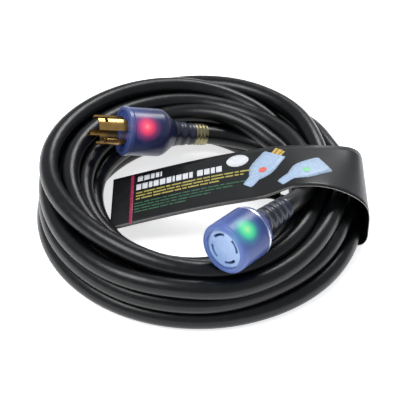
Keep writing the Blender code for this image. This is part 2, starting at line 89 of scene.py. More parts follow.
def mesh_piece(name, points, faces, materials, uv=None, face_material=None):
    """A mesh object at the origin, smooth shaded, from an array of points and a list of faces,
    with uv given for each face's corners in turn and face_material for each face."""
    mesh = bpy.data.meshes.new(name)
    mesh.from_pydata(points.tolist(), [], faces)
    if uv is not None:
        layer = mesh.uv_layers.new(name="UVMap")
        layer.data.foreach_set("uv", uv.astype(np.float32).ravel())
    for material in materials:
        mesh.materials.append(material)
    if face_material is not None:
        mesh.polygons.foreach_set("material_index", face_material.astype(np.int32))
    mesh.polygons.foreach_set("use_smooth", np.ones(len(faces), bool))
    mesh.update()
    piece = bpy.data.objects.new(name, mesh)
    bpy.context.scene.collection.objects.link(piece)
    return piece


camera_data = bpy.data.cameras.new("camera")
camera_data.lens = CAMERA_LENS
camera_data.sensor_width = 36
camera = bpy.data.objects.new("camera", camera_data)
toward_camera = np.array([0.0, -math.cos(CAMERA_TILT), math.sin(CAMERA_TILT)])
camera.location = CAMERA_AIM + CAMERA_DISTANCE * toward_camera
camera.rotation_euler = (math.pi / 2 - CAMERA_TILT, 0, 0)
bpy.context.scene.collection.objects.link(camera)
bpy.context.scene.camera = camera
bpy.context.scene.view_settings.view_transform = "Standard"

# Matt emulsion, rolled on: nearly one white, with faint roller clouds 300 mm across. It
# gives off some light of its own, so that shadows on it stay pale.
floor_paint, tree, shader = new_finish("matt white floor paint", Roughness=0.85)
place = add_node(tree, "ShaderNodeTexCoord")
grain = add_node(
    tree,
    "ShaderNodeTexNoise",
    {"Vector": place.outputs["Object"], "Scale": 1000 / 300, "Detail": 3.0},
)
shade = add_node(tree, "ShaderNodeValToRGB", {"Fac": grain.outputs["Fac"]})
shade.color_ramp.elements[0].color = linear("#f7f7f7")
shade.color_ramp.elements[1].color = linear("#fbfbfb")
tree.links.new(shade.outputs["Color"], shader.inputs["Base Color"])
shader.inputs["Emission Color"].default_value = linear("#ffffff")
shader.inputs["Emission Strength"].default_value = 0.68
floor = mesh_piece(
    "floor",
    FLOOR_HALF * np.array([(-1, -1, 0), (1, -1, 0), (1, 1, 0), (-1, 1, 0)]),
    [(0, 1, 2, 3)],
    [floor_paint],
)

world = bpy.data.worlds.new("studio")
world.use_nodes = True
world.node_tree.nodes["Background"].inputs["Color"].default_value = linear("#f4f7ff")
world.node_tree.nodes["Background"].inputs["Strength"].default_value = 0.55
bpy.context.scene.world = world
for name, place, turn, size, power in (
    ("key", (-0.75, -0.35, 1.30), (0.26, -0.50, 0.0), 0.70, 16),
    ("rear", (0.45, 1.00, 1.10), (-0.74, 0.28, 0.0), 0.60, 12),
):
    light = bpy.data.lights.new(name, "AREA")
    light.size = size
    light.energy = power
    lamp = bpy.data.objects.new(name, light)
    lamp.location = place
    lamp.rotation_euler = turn
    bpy.context.scene.collection.objects.link(lamp)


# ---- Cord -------------------------------------------------------------------
# 7.62 m of four-wire cord in a 17 mm PVC jacket, extruded round the twisted cores.
# It is wound by hand into ten turns that lie over each other, so the heap is higher
# at the left and looser at the right. Both ends go into the moulded fittings.
CORD_D = 0.0170
# Distances behind an end's face: where the cord starts inside the fitting, a point inside
# the boot, and where the cord comes out.
CORD_START = 0.0586
IN_BOOT = 0.070
CONNECTOR_EXIT = 0.0818
PLUG_EXIT = 0.0821
# The plug's flange and the connector's rim stand this far in front of their mounts.
PLUG_FACE_LIFT = 0.0003
CONNECTOR_FACE_LIFT = 0.0020
# Each lead's route: the same points as the CAD leads follow.
CONNECTOR_ROUTE = [
    (0.0880, -0.0355, 0.0580),
    (0.0938, -0.0190, 0.0546),
    (0.0962, 0.0000, 0.0516),
    (0.0950, 0.0205, 0.0493),
    (0.0895, 0.0410, 0.0471),
    (0.0812, 0.0612, 0.0447),
    (0.0690, 0.0800, 0.0418),
]
PLUG_ROUTE = [
    (0.0768, 0.0584, 0.0250),
    (0.0621, 0.0697, 0.0253),
    (0.0450, 0.0768, 0.0265),
    (0.0266, 0.0792, 0.0290),
]
# How each turn is laid: angle in degrees, radius and height of the cord's middle in mm,
# and how firmly it is held there.
TURNS = [
    [(90, 117, 42, 1), (135, 117, 47, 0.6), (180, 116, 51, 1), (225, 116, 42, 0.6),
     (270, 122, 34, 0.6), (315, 108, 26, 0.4)],
    [(0, 98, 34, 0.3), (37, 97, 36, 0.4), (69, 104, 41, 0.6), (90, 106, 42, 0.6),
     (135, 104, 41, 0.6), (180, 102, 40, 1), (225, 100, 31, 0.5), (270, 94, 23, 0.5),
     (315, 92, 22, 0.4)],
    [(0, 96, 20, 0.3), (45, 103, 30, 0.4), (90, 122, 48, 0.6), (135, 130, 57, 0.8),
     (180, 131, 60, 1), (205, 125, 60, 0.8), (225, 121, 58, 1), (245, 121, 54.5, 1),
     (270, 124, 50, 1.5), (300, 114, 45, 1), (343, 101, 39, 1)],
    [(0, 104, 38, 0.6), (26, 109, 40, 1), (48, 121, 40, 1), (71, 129, 39, 1),
     (90, 136, 37, 1), (135, 138, 39, 0.8), (180, 134, 42, 1), (225, 138, 42, 1),
     (270, 139, 42, 1.5), (284, 132, 38, 1), (311, 119, 34, 1), (343, 112, 33, 1)],
    [(0, 114, 28, 0.5), (45, 127, 24, 0.5), (90, 150, 22, 1), (135, 143, 24, 0.8),
     (180, 137, 25, 1), (225, 137, 25, 1), (270, 137.5, 25, 1.5), (299, 128, 20, 1),
     (328, 123, 18, 1), (352, 125, 18, 1)],
    [(0, 130, 14, 0.5), (28, 139, 18, 0.8), (54, 156, 14, 1), (90, 145, 8.5, 0.8),
     (135, 142, 8.5, 0.8), (180, 138, 8.5, 1), (225, 136, 8.5, 1), (270, 134.7, 8.5, 1.5),
     (299, 132, 8.5, 1), (334, 136, 8.5, 1)],
    [(0, 138, 8.5, 0.5), (45, 142, 8.5, 0.5), (90, 128, 8.5, 0.5), (180, 121, 8.5, 0.5),
     (270, 118, 8.5, 0.5)],
    [(0, 121, 8.5, 0.5), (45, 122, 8.5, 0.3), (90, 111, 8.5, 0.5), (180, 104, 8.5, 0.5),
     (270, 101, 8.5, 0.5)],
    [(0, 104, 8.5, 0.5), (45, 112, 22, 0.3), (90, 128, 25, 0.5), (180, 118, 25, 0.5),
     (270, 112, 23, 0.5)],
    [(0, 108, 23, 0.5), (45, 105, 14, 0.3), (90, 108, 23, 0.5), (180, 101, 25, 0.5),
     (270, 86, 8.5, 0.5), (315, 92, 13, 0.4)],
]
# The heap's outermost middle line and its innermost one, by angle, in mm.
HEAP_OUTER = [(0, 137.5), (30, 138), (54, 152), (90, 148), (140, 142), (180, 138.5),
              (270, 136.5), (325, 137.5), (360, 137.5)]
HEAP_INNER = [(0, 89.5), (36, 89.5), (60, 84), (300, 84), (326, 89.5), (360, 89.5)]
# The card passes under the coil here: its middle, its half width and the run-out beside it in
# degrees, and how far it holds the cord off the floor in mm.
CARD_MIDDLE = 4
CARD_HALF = 36
CARD_FADE = 12
CARD_LIFT = 0.9
# Each fitting holds the cord off as two round bars: length behind the face and radius, in mm.
FITTING_BARS = ((46.0, 22.6), (78.0, 13.0))
# How the turns settle. At each step a cord gives back these shares of an overlap, is drawn
# back to where it was laid by this share, and sags this far in mm. The push between two cords
# stops once their middles are this share of a diameter apart.
SETTLING_STEPS = 900
CORD_PUSH = 0.35
FITTING_PUSH = 0.5
LAID_PULL = 0.03
SAG = 0.05
PRESSED = 0.965
# How much of its neighbours' stray each place takes on at each step, from either side.
BEND_EASE = 0.125
# The leads stay where they are. The turns are free between these angles, in degrees, and
# the finished line is read between the next two.
LEAD_HOLD = 50.0
FREE_FROM, FREE_TO = 49, 3637
READ_FROM, READ_TO = -15, 3660
ANGLE_STEP = 10.0
PER_TURN = round(360 / ANGLE_STEP)
CORD_RINGS = 1500
CORD_SIDES = 28


def smooth_line(known, values, wanted):
    """Natural cubic spline through values at known, read at wanted: a cubic on each span, whose
    second derivatives are solved so that the slope runs on, and are zero at both ends."""
    step = np.diff(known)
    count = len(known)
    matrix = np.zeros((count, count))
    right = np.zeros((count, values.shape[1]))
    matrix[0, 0] = matrix[-1, -1] = 1
    i = np.arange(1, count - 1)
    matrix[i, i - 1] = step[:-1]
    matrix[i, i] = 2 * (step[:-1] + step[1:])
    matrix[i, i + 1] = step[1:]
    slope = np.diff(values, axis=0) / step[:, None]
    right[1:-1] = 6 * np.diff(slope, axis=0)
    bend = np.linalg.solve(matrix, right)
    j = np.clip(np.searchsorted(known, wanted) - 1, 0, count - 2)
    gone = (wanted - known[j])[:, None]
    span = step[j][:, None]
    left = span - gone
    cubic = (bend[j] * left**3 + bend[j + 1] * gone**3) / (6 * span)
    line = (values[j] / span - bend[j] * span / 6) * left
    return cubic + line + (values[j + 1] / span - bend[j + 1] * span / 6) * gone


def along(points, count):
    """The smooth line through points, read at count places that are evenly spaced by the
    straight distances from point to point."""
    gone = np.r_[0, np.cumsum(np.linalg.norm(np.diff(points, axis=0), axis=1))]
    return smooth_line(gone, points, np.linspace(0, gone[-1], count))


def end_line(mount, lift):
    """The centre of an end's foremost edge, lift in front of its mount, and the unit direction
    from it back along its body."""
    axis = np.array(mount["axis"], float)
    axis /= np.linalg.norm(axis)
    return np.array(mount["pos_m"]) + lift * axis, -axis


def to_polar(points):
    """Points as angle in degrees, and radius and height in mm."""
    points = np.asarray(points, float)
    radius = np.hypot(points[:, 0], points[:, 1]) * 1000
    return np.column_stack([np.degrees(np.arctan2(points[:, 1], points[:, 0])), radius, points[:, 2] * 1000])


plug_face_at, plug_back = end_line(ends["plug_face"], PLUG_FACE_LIFT)
connector_face_at, connector_back = end_line(ends["connector_face"], CONNECTOR_FACE_LIFT)
connector_end = [connector_face_at + d * connector_back for d in (CORD_START, IN_BOOT, CONNECTOR_EXIT)]
plug_end = [plug_face_at + d * plug_back for d in (PLUG_EXIT, IN_BOOT, CORD_START)]

lead_in = to_polar([connector_end[-1]] + CONNECTOR_ROUTE)
lead_out = to_polar(PLUG_ROUTE + [plug_end[0]])
lead_out[:, 0] += 360 * len(TURNS)
laid = [(turn * 360 + a, r, z, hold) for turn, rows in enumerate(TURNS) for a, r, z, hold in rows]
lead_in, lead_out = (np.column_stack([lead, np.full(len(lead), LEAD_HOLD)]) for lead in (lead_in, lead_out))
stations = np.vstack([lead_in, laid, lead_out])
angle = np.arange(-4 * ANGLE_STEP, 360 * len(TURNS) + 8 * ANGLE_STEP + 1, ANGLE_STEP)
guide = smooth_line(stations[:, 0], stations[:, 1:3], angle)
hold = LAID_PULL * np.interp(angle, stations[:, 0], stations[:, 3])[:, None]
free = (angle > FREE_FROM) & (angle < FREE_TO)
around = angle % 360
outer = np.interp(around, *np.array(HEAP_OUTER).T)
inner = np.interp(around, *np.array(HEAP_INNER).T)
off_card = np.abs((around - CARD_MIDDLE + 180) % 360 - 180) - CARD_HALF
cord_r = CORD_D * 500
lowest = cord_r + CARD_LIFT * np.clip(1 - off_card / CARD_FADE, 0, 1)
outward = np.column_stack([np.cos(np.radians(angle)), np.sin(np.radians(angle))])
fittings = [
    (face_at * 1000, direction, reach, bar_r + cord_r)
    for face_at, direction in ((plug_face_at, plug_back), (connector_face_at, connector_back))
    for reach, bar_r in FITTING_BARS
]
turns = math.ceil(len(angle) / PER_TURN)
settled = guide.copy()
for step in range(SETTLING_STEPS):
    # Cords that pass at the same angle and come too near push each other apart.
    ring = np.full((turns * PER_TURN, 2), np.nan)
    ring[: len(angle)] = settled
    ring = ring.reshape(turns, PER_TURN, 2)
    apart = ring[:, None] - ring[None]
    distance = np.sqrt((apart**2).sum(-1))
    distance[distance == 0] = np.nan
    short = np.clip(PRESSED * 2 * cord_r - distance, 0, None) / distance
    push = np.nansum(short[..., None] * apart, axis=1).reshape(-1, 2)[: len(angle)]
    moved = settled + CORD_PUSH * push
    # The two moulded fittings hold the cord off as round bars.
    for start, direction, reach, width in fittings:
        place = np.column_stack([moved[:, :1] * outward, moved[:, 1]]) - start
        gone = np.clip(place @ direction, 0, reach)[:, None]
        off = place - gone * direction
        far = np.linalg.norm(off, axis=1, keepdims=True)
        off *= np.clip(width - far, 0, None) / far
        moved += FITTING_PUSH * np.column_stack([(off[:, :2] * outward).sum(1), off[:, 2]])
    # It bends gently, tends to where it was laid, sags, and stays inside the heap and off the
    # floor. The pull and the sag fade out as it comes to rest.
    stray = moved - guide
    stray[1:-1] = (1 - 2 * BEND_EASE) * stray[1:-1] + BEND_EASE * (stray[:-2] + stray[2:])
    fading = 1 - step / SETTLING_STEPS
    moved = guide + stray * (1 - hold * fading)
    moved[:, 1] = np.maximum(moved[:, 1] - SAG * fading, lowest)
    moved[:, 0] = np.clip(moved[:, 0], inner, outer)
    settled[free] = moved[free]

wound = np.column_stack([settled[:, :1] * outward, settled[:, 1]]) / 1000
coiled = wound[(angle > READ_FROM) & (angle < READ_TO)]
route = np.vstack([connector_end, CONNECTOR_ROUTE[:1], coiled, PLUG_ROUTE[-1:], plug_end])
cord_line = along(route, CORD_RINGS)


def tube(points, radius, sides):
    """A circle carried along a line, as one ring of points for each place on the line. The
    ring's first vector is level, the line's direction crossed with straight up, and its second
    is that vector crossed with the direction."""
    ahead = np.gradient(points, axis=0)
    ahead /= np.linalg.norm(ahead, axis=1)[:, None]
    side = np.cross(ahead, [0.0, 0.0, 1.0])
    side /= np.linalg.norm(side, axis=1)[:, None]
    up = np.cross(side, ahead)
    turn = np.linspace(0, 2 * np.pi, sides, endpoint=False)
    return points[:, None] + radius * (
        np.cos(turn)[None, :, None] * side[:, None] + np.sin(turn)[None, :, None] * up[:, None]
    )


def tube_faces(rows, sides):
    """The side of a tube as quads that face out, each from one ring to the next."""
    i, j = np.meshgrid(np.arange(rows - 1), np.arange(sides), indexing="ij")
    k = (j + 1) % sides
    quads = np.stack([i * sides + j, (i + 1) * sides + j, (i + 1) * sides + k, i * sides + k], -1)
    return quads.reshape(-1, 4)


rings = tube(cord_line, CORD_D / 2, CORD_SIDES)
side_faces = tube_faces(CORD_RINGS, CORD_SIDES)
first_ring = np.arange(CORD_SIDES)
caps = [first_ring.tolist(), (first_ring[::-1] + (CORD_RINGS - 1) * CORD_SIDES).tolist()]
# The jacket is unrolled in metres: along the cord, and round it from the level side.
gone = np.r_[0, np.cumsum(np.linalg.norm(np.diff(cord_line, axis=0), axis=1))]
row = side_faces // CORD_SIDES
column = side_faces % CORD_SIDES
last_column = column.max(1, keepdims=True) == CORD_SIDES - 1
column = np.where((column == 0) & last_column, CORD_SIDES, column)
side_uv = np.stack([gone[row], column / CORD_SIDES * np.pi * CORD_D], -1).reshape(-1, 2)
cap_uv = np.zeros((2 * CORD_SIDES, 2))

# Black PVC, extruded: half gloss, with faint drag lines along it 1.1 mm apart, soft scuffs
# 6 mm across and a waviness about 22 mm long from the cores beneath.
jacket, tree, shader = new_finish("extruded black PVC", Specular_IOR_Level=0.34)
place = add_node(tree, "ShaderNodeTexCoord")
stretch = add_node(
    tree,
    "ShaderNodeMapping",
    {"Vector": place.outputs["UV"], "Scale": (1000 / 33.3, 1000 / 1.11, 1.0)},
)
drag = add_node(
    tree,
    "ShaderNodeTexNoise",
    {"Vector": stretch.outputs["Vector"], "Scale": 1.0, "Detail": 2.0},
)
wave = add_node(
    tree,
    "ShaderNodeTexNoise",
    {"Vector": place.outputs["Object"], "Scale": 1000 / 22.2, "Detail": 2.0},
)
scuff = add_node(
    tree,
    "ShaderNodeTexNoise",
    {"Vector": place.outputs["Object"], "Scale": 1000 / 6.25, "Detail": 4.0},
)
tone = add_node(tree, "ShaderNodeValToRGB", {"Fac": scuff.outputs["Fac"]})
tone.color_ramp.elements[0].position = 0.45
tone.color_ramp.elements[0].color = linear("#040506")
tone.color_ramp.elements[1].position = 0.80
tone.color_ramp.elements[1].color = linear("#0c0e10")
tree.links.new(tone.outputs["Color"], shader.inputs["Base Color"])
gloss = add_node(
    tree, "ShaderNodeMapRange", {"Value": scuff.outputs["Fac"], "To Min": 0.24, "To Max": 0.38}
)
tree.links.new(gloss.outputs["Result"], shader.inputs["Roughness"])
lines = add_node(
    tree, "ShaderNodeBump", {"Height": drag.outputs["Fac"], "Strength": 0.15, "Distance": 0.0002}
)
waves = add_node(
    tree,
    "ShaderNodeBump",
    {"Height": wave.outputs["Fac"], "Strength": 0.35, "Distance": 0.0012, "Normal": lines.outputs["Normal"]},
)
tree.links.new(waves.outputs["Normal"], shader.inputs["Normal"])

cord = mesh_piece(
    "cord",
    rings.reshape(-1, 3),
    side_faces.tolist() + caps,
    [jacket],
    uv=np.vstack([side_uv, cap_uv]),
)
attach(cord, "cord")
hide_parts("cord_coil", "plug_lead", "connector_lead")

# ---- Card sleeve ------------------------------------------------------------
# One strip of 0.5 mm coated board, printed on its outside. It is folded round the coil,
# and its two ends lie together as a tongue across the middle. The front edge is pushed
# up where it passes over the connector's lead.
CARD_THICK = 0.0005
CARD_FRONT = -0.039
CARD_BACK = 0.029
# The strip's bends, in mm: x, the height at its front edge and at its back edge.
CARD_BENDS = np.array([
    (-79, 19.3, 19.3), (-60, 25.6, 25.4), (-40, 31.9, 31.6), (-20, 37.9, 37.7), (0, 43.5, 43.4),
    (20, 48.6, 48.6), (40, 53.0, 53.0), (55, 56.6, 56.2), (66, 61.6, 58.2), (78, 67.2, 59.2),
    (90, 69.6, 59.6), (102, 69.2, 59.6), (114, 66.4, 59.3), (125, 61.6, 58.6), (135, 55.2, 56.8),
    (142.6, 47.4, 52.0), (146.4, 38.6, 43.6), (147.6, 28.0, 31.0), (147.6, 16.0, 17.0),
    (147.0, 7.6, 7.8), (143.8, 2.2, 2.3), (137.0, 0.4, 0.4), (126.0, 0.35, 0.35), (108.0, 0.35, 0.35),
    (90.0, 0.35, 0.35), (80.0, 0.4, 0.4), (74.0, 2.6, 2.6), (71.6, 8.0, 8.0), (71.2, 18.0, 18.0),
    (71.0, 32.0, 32.0), (70.2, 44.0, 44.0), (66.6, 52.6, 52.2), (58.0, 55.6, 54.9), (48.0, 53.8, 53.5),
    (40.0, 52.0, 52.0), (20.0, 47.6, 47.6), (0.0, 42.5, 42.4), (-20.0, 36.9, 36.7),
    (-40.0, 30.9, 30.6), (-60.0, 24.6, 24.4), (-79.0, 18.3, 18.3),
]) / 1000
CARD_ROWS = 420
CARD_COLUMNS = 12
# From the front edge to the back the height changes by this power of the distance, so
# slowly at first.
CARD_TWIST = 1.3
CARD_WIDE = (CARD_BACK - CARD_FRONT) * 1000

bend_gone = np.r_[0, np.cumsum(np.hypot(np.diff(CARD_BENDS[:, 0]), np.diff(CARD_BENDS[:, 1:].mean(1))))]
strip_s = np.linspace(0, bend_gone[-1], CARD_ROWS)
strip = smooth_line(bend_gone, CARD_BENDS, strip_s)
strip_t = np.linspace(0, 1, CARD_COLUMNS + 1)
strip_z = strip[:, 1:2] + (strip[:, 2:3] - strip[:, 1:2]) * strip_t**CARD_TWIST
strip_y = CARD_FRONT + (CARD_BACK - CARD_FRONT) * strip_t
middle = np.stack(np.broadcast_arrays(strip[:, :1], strip_y[None], strip_z), -1)
run = np.gradient(middle, axis=0)
across = np.gradient(middle, axis=1)
out_of = np.cross(run, across)
out_of /= np.linalg.norm(out_of, axis=2, keepdims=True)


def slab(bottom, top):
    """Two grids of the same size joined round their border, as one closed sheet that faces out.
    Returns its points, its faces, and how many of the last faces make the border."""
    rows, columns = top.shape[:2]
    i, j = np.meshgrid(np.arange(rows - 1), np.arange(columns - 1), indexing="ij")
    first = (i * columns + j).ravel()
    upper = np.stack([first, first + columns, first + columns + 1, first + 1], 1)
    lower = upper[:, ::-1] + rows * columns
    rim = np.r_[
        np.arange(columns - 1),
        np.arange(rows - 1) * columns + columns - 1,
        (rows - 1) * columns + np.arange(columns - 1, 0, -1),
        np.arange(rows - 1, 0, -1) * columns,
    ]
    after = np.roll(rim, -1)
    border = np.stack([rim, after, after + rows * columns, rim + rows * columns], 1)
    points = np.vstack([top.reshape(-1, 3), bottom.reshape(-1, 3)])
    return points, np.vstack([upper, lower, border]), len(border)


# Coated black board, calendered: smooth and half glossy, with the paper's fibre clouds 4 mm
# across and a slow buckle about 45 mm long.
board, tree, shader = new_finish("black coated board", Specular_IOR_Level=0.32, Coat_Weight=0.08)
place = add_node(tree, "ShaderNodeTexCoord")
fibre = add_node(
    tree,
    "ShaderNodeTexNoise",
    {"Vector": place.outputs["Object"], "Scale": 1000 / 3.85, "Detail": 4.0},
)
tone = add_node(tree, "ShaderNodeValToRGB", {"Fac": fibre.outputs["Fac"]})
tone.color_ramp.elements[0].color = linear("#0a0a0b")
tone.color_ramp.elements[1].color = linear("#141516")
tree.links.new(tone.outputs["Color"], shader.inputs["Base Color"])
gloss = add_node(
    tree, "ShaderNodeMapRange", {"Value": fibre.outputs["Fac"], "To Min": 0.30, "To Max": 0.44}
)
tree.links.new(gloss.outputs["Result"], shader.inputs["Roughness"])
buckle = add_node(
    tree,
    "ShaderNodeTexNoise",
    {"Vector": place.outputs["Object"], "Scale": 1000 / 45.45, "Detail": 1.0},
)
bump = add_node(
    tree, "ShaderNodeBump", {"Height": buckle.outputs["Fac"], "Strength": 0.25, "Distance": 0.002}
)
tree.links.new(bump.outputs["Normal"], shader.inputs["Normal"])

# Where the board is cut, its grey core shows as a pale line, with fibres 1.1 mm long.
cut_edge, tree, shader = new_finish("cut board edge", Roughness=0.8)
place = add_node(tree, "ShaderNodeTexCoord")
fibre = add_node(
    tree, "ShaderNodeTexNoise", {"Vector": place.outputs["Object"], "Scale": 1000 / 1.11}
)
tone = add_node(tree, "ShaderNodeValToRGB", {"Fac": fibre.outputs["Fac"]})
tone.color_ramp.elements[0].color = linear("#8f8e88")
tone.color_ramp.elements[1].color = linear("#c9c8c1")
tree.links.new(tone.outputs["Color"], shader.inputs["Base Color"])

half = out_of * CARD_THICK / 2
points, faces, border = slab(middle - half, middle + half)
kind = np.zeros(len(faces), int)
kind[-border:] = 1
card = mesh_piece("card", points, faces.tolist(), [board, cut_edge], face_material=kind)
# The cut edge is shaded flat, so that the board's corners stay crisp.
card.data.polygons.foreach_set("use_smooth", kind == 0)
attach(card, "sleeve")
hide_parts("card_sleeve")


# Thickness of the ink, its distance off the board, and how much higher each further layer
# lies. Real ink is thinner: this is as thick as it needs to be to show.
INK_THICK = 0.00006
INK_GAP = 0.00003
INK_STEP = 0.00008
INK_STATIONS = 33
INK_SPREAD = 5
WORD_GAP = 1.1


def ink(name, level, material, patches):
    """Patches of one colour of print. Each is (start, end, widths): it follows a line on the
    card from start to end, each (distance from the tongue's tip, distance from the middle
    line) in mm, and its half width is read from widths, in steps of (share of the line, half
    width). Its points are found on the card's own grid, blended between the four nearest.
    Every patch is a closed film that lies just off the board, higher at a higher level."""
    all_points = []
    all_faces = []
    count = 0
    for start, end, widths in patches:
        start = np.array(start, float)
        end = np.array(end, float)
        share = np.unique(np.r_[np.linspace(0, 1, INK_STATIONS), [w[0] for w in widths]])
        half_width = np.interp(share, *np.array(widths, float).T)
        line = (end - start) / np.linalg.norm(end - start)
        side = np.array([-line[1], line[0]])
        spread = np.linspace(-1, 1, INK_SPREAD)[None, :, None]
        flat = start + share[:, None, None] * (end - start) + spread * half_width[:, None, None] * side
        row = np.clip(flat[..., 0] / 1000 / strip_s[1], 0, CARD_ROWS - 1.001)
        column = np.clip((flat[..., 1] / CARD_WIDE + 0.5) * CARD_COLUMNS, 0, CARD_COLUMNS - 0.001)
        i = row.astype(int)
        j = column.astype(int)
        a = (row - i)[..., None]
        b = (column - j)[..., None]
        at = [
            (grid[i, j] * (1 - b) + grid[i, j + 1] * b) * (1 - a)
            + (grid[i + 1, j] * (1 - b) + grid[i + 1, j + 1] * b) * a
            for grid in (middle, out_of)
        ]
        low = at[0] + at[1] * (CARD_THICK / 2 + INK_GAP + level * INK_STEP)
        points, faces, _ = slab(low, low + at[1] * INK_THICK)
        all_points.append(points)
        all_faces.append(faces + count)
        count += len(points)
    patch = mesh_piece(name, np.vstack(all_points), np.vstack(all_faces).tolist(), [material])
    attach(patch, "sleeve")


def words(first, last, across_at, half, lengths):
    """Bars of the given lengths in turn along one line of print, a gap apart, in mm: from first
    to last along the card, at across_at from its middle line, each twice half in height."""
    bars = []
    at = first
    k = 0
    while at < last:
        end = min(at + lengths[k % len(lengths)], last)
        if end - at > 1:
            bars.append(((at, across_at), (end, across_at), [(0, half), (1, half)]))
        at = end + WORD_GAP
        k += 1
    return bars


def print_ink(name, dark, light, rough):
    """Offset ink on coated board: half gloss, mottled 2.4 mm across where it lies thinner."""
    material, tree, shader = new_finish(name, Roughness=rough)
    place = add_node(tree, "ShaderNodeTexCoord")
    mottle = add_node(
        tree,
        "ShaderNodeTexNoise",
        {"Vector": place.outputs["Object"], "Scale": 1000 / 2.38, "Detail": 3.0},
    )
    tone = add_node(tree, "ShaderNodeValToRGB", {"Fac": mottle.outputs["Fac"]})
    tone.color_ramp.elements[0].position = 0.35
    tone.color_ramp.elements[0].color = linear(dark)
    tone.color_ramp.elements[1].position = 0.65
    tone.color_ramp.elements[1].color = linear(light)
    tree.links.new(tone.outputs["Color"], shader.inputs["Base Color"])
    return material


# Generic print: plain bars stand for the wording, an oval for the mark, and two simple
# drawings show a plug and a connector.
white_ink = print_ink("white ink", "#c6c9cd", "#d6d8db", 0.4)
yellow_ink = print_ink("yellow ink", "#8d8540", "#a89e4c", 0.45)
green_ink = print_ink("green ink", "#1c4a33", "#2b6245", 0.45)
crimson_ink = print_ink("crimson ink", "#7c1d3c", "#a02a50", 0.45)
pale_ink = print_ink("pale blue ink", "#93a9c2", "#a5bad0", 0.4)
gold_ink = print_ink("gold ink", "#b2933f", "#c9aa52", 0.4)
red_ink = print_ink("red ink", "#cd5a50", "#d96c60", 0.4)
leaf_ink = print_ink("leaf green ink", "#74c48e", "#84cf9b", 0.4)
ink("print_bar", 0, crimson_ink, [((19, -33.2), (19, 33.2), [(0, 1.5), (1, 1.5)])])
title = words(24, 47, 25.5, 3.4, (5.0, 5.2, 3.6, 3.4, 1.6))
title += words(23, 76, 14.4, 4.0, (4.6, 5.0, 3.4, 4.8, 5.2, 4.6, 2.2, 5.0, 5.0))
title += words(80, 104, 14.4, 4.0, (5.4, 5.0, 3.8, 5.2))
ink("print_title", 0, white_ink, title)
yellow = words(23, 127, 6.2, 0.95, (6, 11, 8, 4, 9, 12, 5))
yellow += words(23, 122, 2.2, 0.95, (9, 5, 12, 7, 4, 10))
yellow += words(23, 100, -1.8, 0.95, (4, 10, 7, 11, 6))
ink("print_yellow_lines", 0, yellow_ink, yellow)
green = words(22, 124, -7.6, 0.8, (8, 5, 10, 4, 12, 7))
green += words(22, 112, -11.4, 0.8, (11, 6, 4, 9, 5))
green += words(22, 92, -15.2, 0.8, (5, 9, 12, 4))
green += words(22, 70, -19.0, 0.8, (7, 4, 10))
ink("print_green_lines", 0, green_ink, green)
turn = np.linspace(0, np.pi, 33)
oval = list(zip(((1 - np.cos(turn)) / 2).tolist(), (8.0 * np.sin(turn)).tolist()))
spot = list(zip(((1 - np.cos(turn)) / 2).tolist(), (3.6 * np.sin(turn)).tolist()))
ink("print_oval", 0, white_ink, [((107, 21.5), (127, 21.5), oval)])
blades = [((152, 20.5), (157, 28), [(0, 2.0), (1, 2.0)]), ((148.6, 23), (153.6, 30.4), [(0, 1.4), (1, 1.4)])]
blades.append(((155.2, 18.2), (159.6, 24.8), [(0, 1.4), (1, 1.4)]))
ink("print_plug_blades", 0, gold_ink, blades)
fitting = [
    (0, 4.2), (0.05, 5.0), (0.24, 5.4), (0.33, 8.4), (0.45, 11.6), (0.58, 12.6), (0.95, 12.0), (1, 10.6),
]
ink("print_plug", 1, pale_ink, [((125, -15), (151.5, 22), fitting)])
ink("print_plug_lamp", 2, red_ink, [((135.5, 3), (143, 3), spot)])
ink("print_connector", 1, pale_ink, [((154, -22), (195, 2), fitting)])
ink("print_connector_lamp", 2, leaf_ink, [((174, -9), (181, -9), spot)])


# ---- Plug -------------------------------------------------------------------
# Clear blue PVC moulded over the blades and the lamp, with a darker boot and a crimped
# ribbed ferrule where the cord comes out. The flange at the face is thinner, so paler.
# The light of each lamp on its clear body is a painted glow: emission colour that fades out over GLOW_REACH
# from one spot on the wall, WALL_R from the middle line.
GLOW_REACH = 0.0145
WALL_R = 0.021
SHADE_DEPTH = 0.05
# The boots are moulded soft, so their ribs are shaded round up to this turn, in degrees.
SOFT_CREASE = 80


def dress(nodes, material, crease_angle=32):
    """Puts a material in every slot of the named CAD nodes, joins their loose triangles and
    shades them round where they turn by less than the crease angle, in degrees."""
    for name in nodes:
        node = frame["nodes"][name]
        for slot in node.material_slots:
            slot.material = material
        if "custom_normal" in node.data.attributes:
            node.data.attributes.remove(node.data.attributes["custom_normal"])
        node.data.polygons.foreach_set("use_smooth", np.ones(len(node.data.polygons), bool))
        weld = node.modifiers.new("weld", "WELD")
        weld.merge_threshold = 0.00001
        crease = node.modifiers.new("crease", "EDGE_SPLIT")
        crease.split_angle = math.radians(crease_angle)


